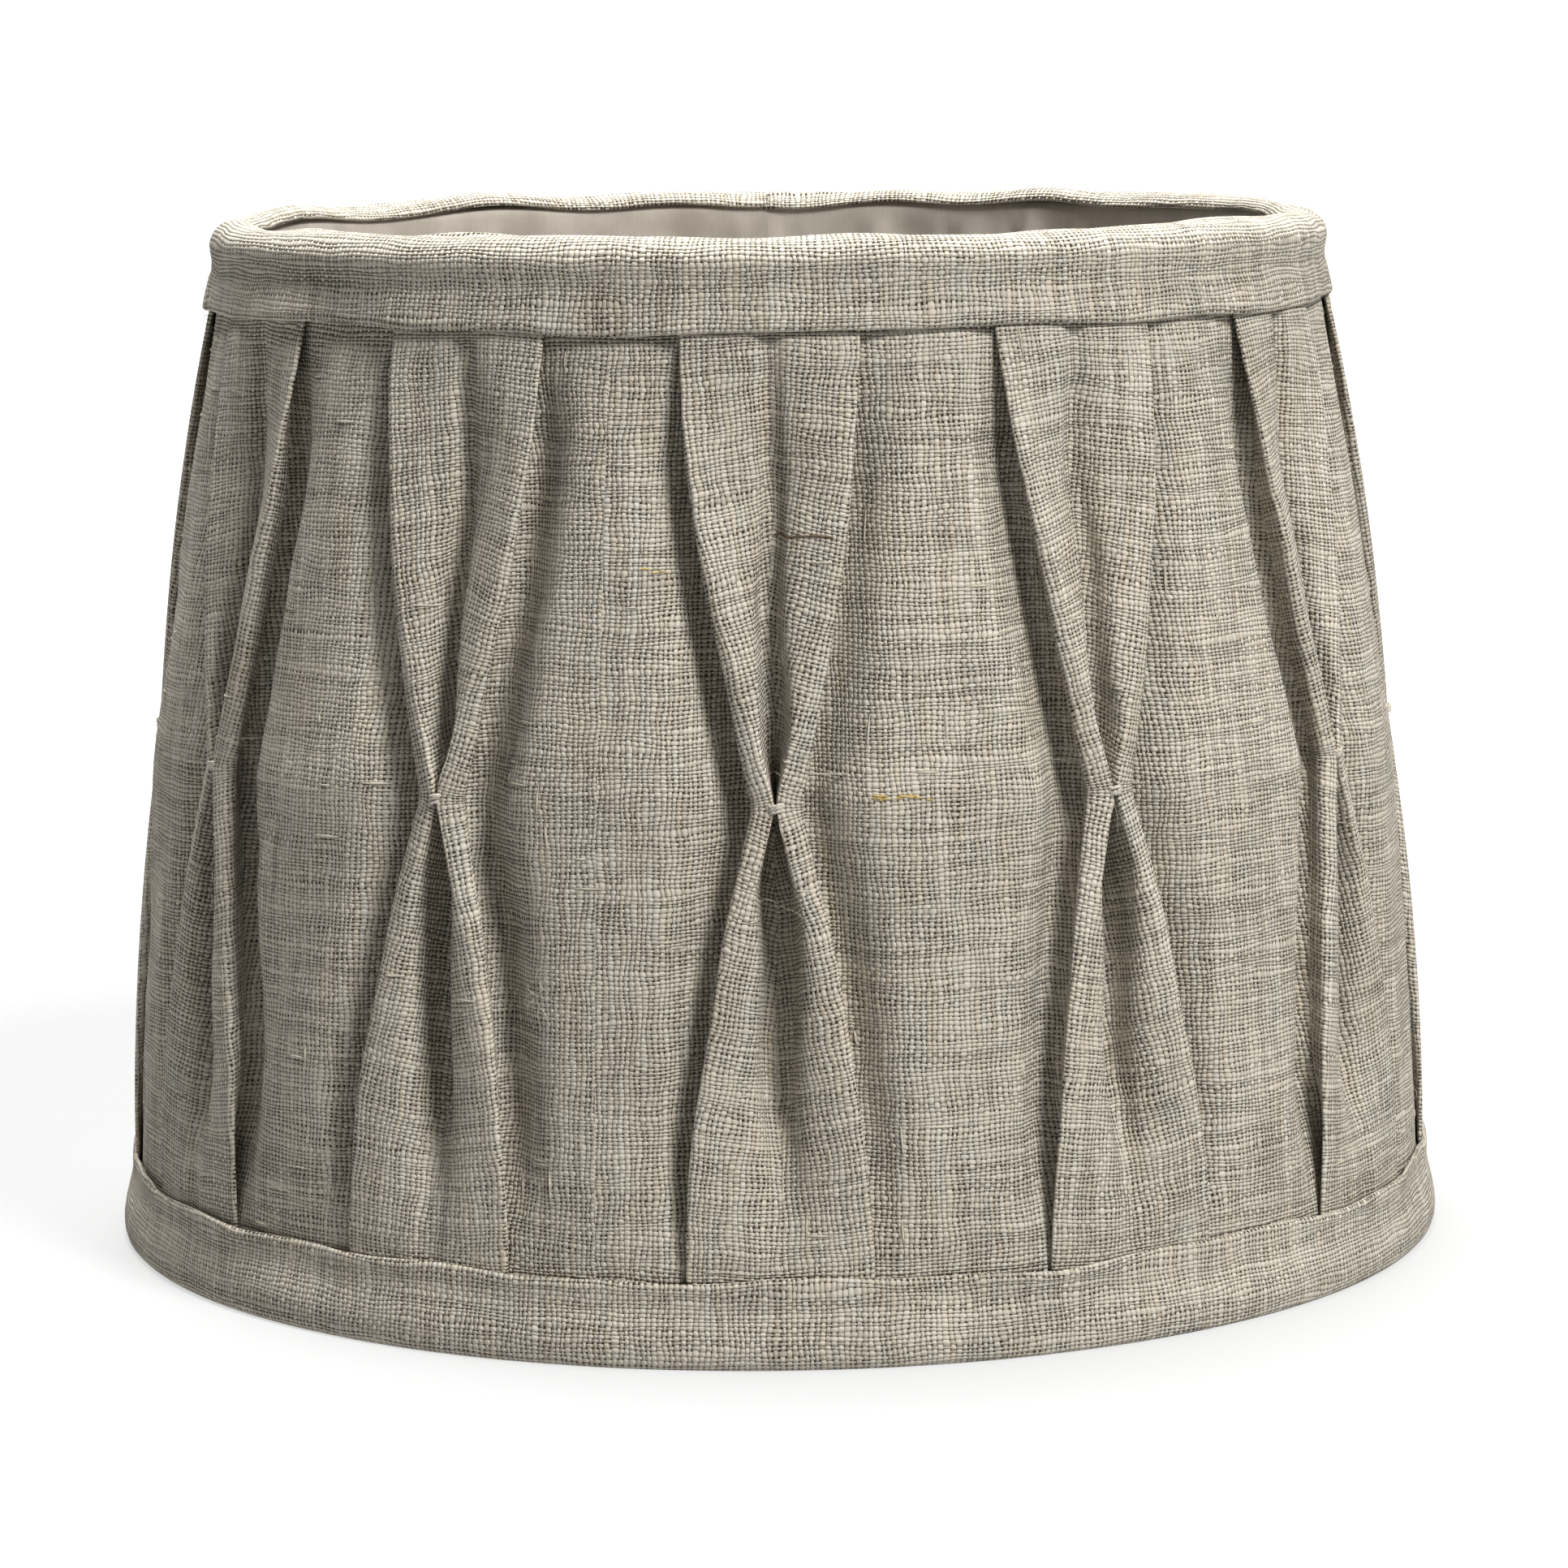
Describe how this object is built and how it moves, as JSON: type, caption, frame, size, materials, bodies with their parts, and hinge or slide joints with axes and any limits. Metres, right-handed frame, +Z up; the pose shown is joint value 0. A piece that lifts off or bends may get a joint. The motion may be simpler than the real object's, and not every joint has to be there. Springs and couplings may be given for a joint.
{
  "type": "pleated fabric lamp shade",
  "caption": "Tapered drum lamp shade in natural linen with pinched box pleats, self-fabric bindings at both rims, a cotton lining and a ring fitting inside the lower rim.",
  "frame": {"origin": "on the shade's vertical axis, at the level of the lower binding's face that it stands on", "axes": "+Z up along the axis of the rings, -Y to the front, +X to the right seen from the front"},
  "size_m": [0.25, 0.25, 0.19],
  "materials": {
    "linen": "natural greige linen in a slubby plain weave, matt",
    "lining": "fine off-white cotton, matt",
    "thread": "twisted sewing thread",
    "frame_wire": "white powder coat",
    "reducer": "moulded white plastic, satin"
  },
  "bodies": {
    "shade": {"bottom_ring": "frame_wire", "top_ring": "frame_wire", "strut_01": "frame_wire", "strut_02": "frame_wire", "strut_03": "frame_wire", "strut_04": "frame_wire", "strut_05": "frame_wire", "strut_06": "frame_wire", "carrier_arm_1": "frame_wire", "carrier_arm_2": "frame_wire", "carrier_arm_3": "frame_wire", "carrier_ring": "frame_wire", "lining": "lining", "pleated_cover": "linen", "bottom_binding": "linen", "top_binding": "linen", "pinch_tack_01": "thread", "pinch_tack_02": "thread", "pinch_tack_03": "thread", "pinch_tack_04": "thread", "pinch_tack_05": "thread", "pinch_tack_06": "thread", "pinch_tack_07": "thread", "pinch_tack_08": "thread", "pinch_tack_09": "thread", "pinch_tack_10": "thread", "pinch_tack_11": "thread", "pinch_tack_12": "thread"},
    "reducer": {"reducer_ring": "reducer"}
  },
  "joints": [
    {"name": "reducer_lift", "type": "slide", "parent": "shade", "child": "reducer", "axis": [0, 0, 1], "range_m": [0, 0.165]}
  ]
}
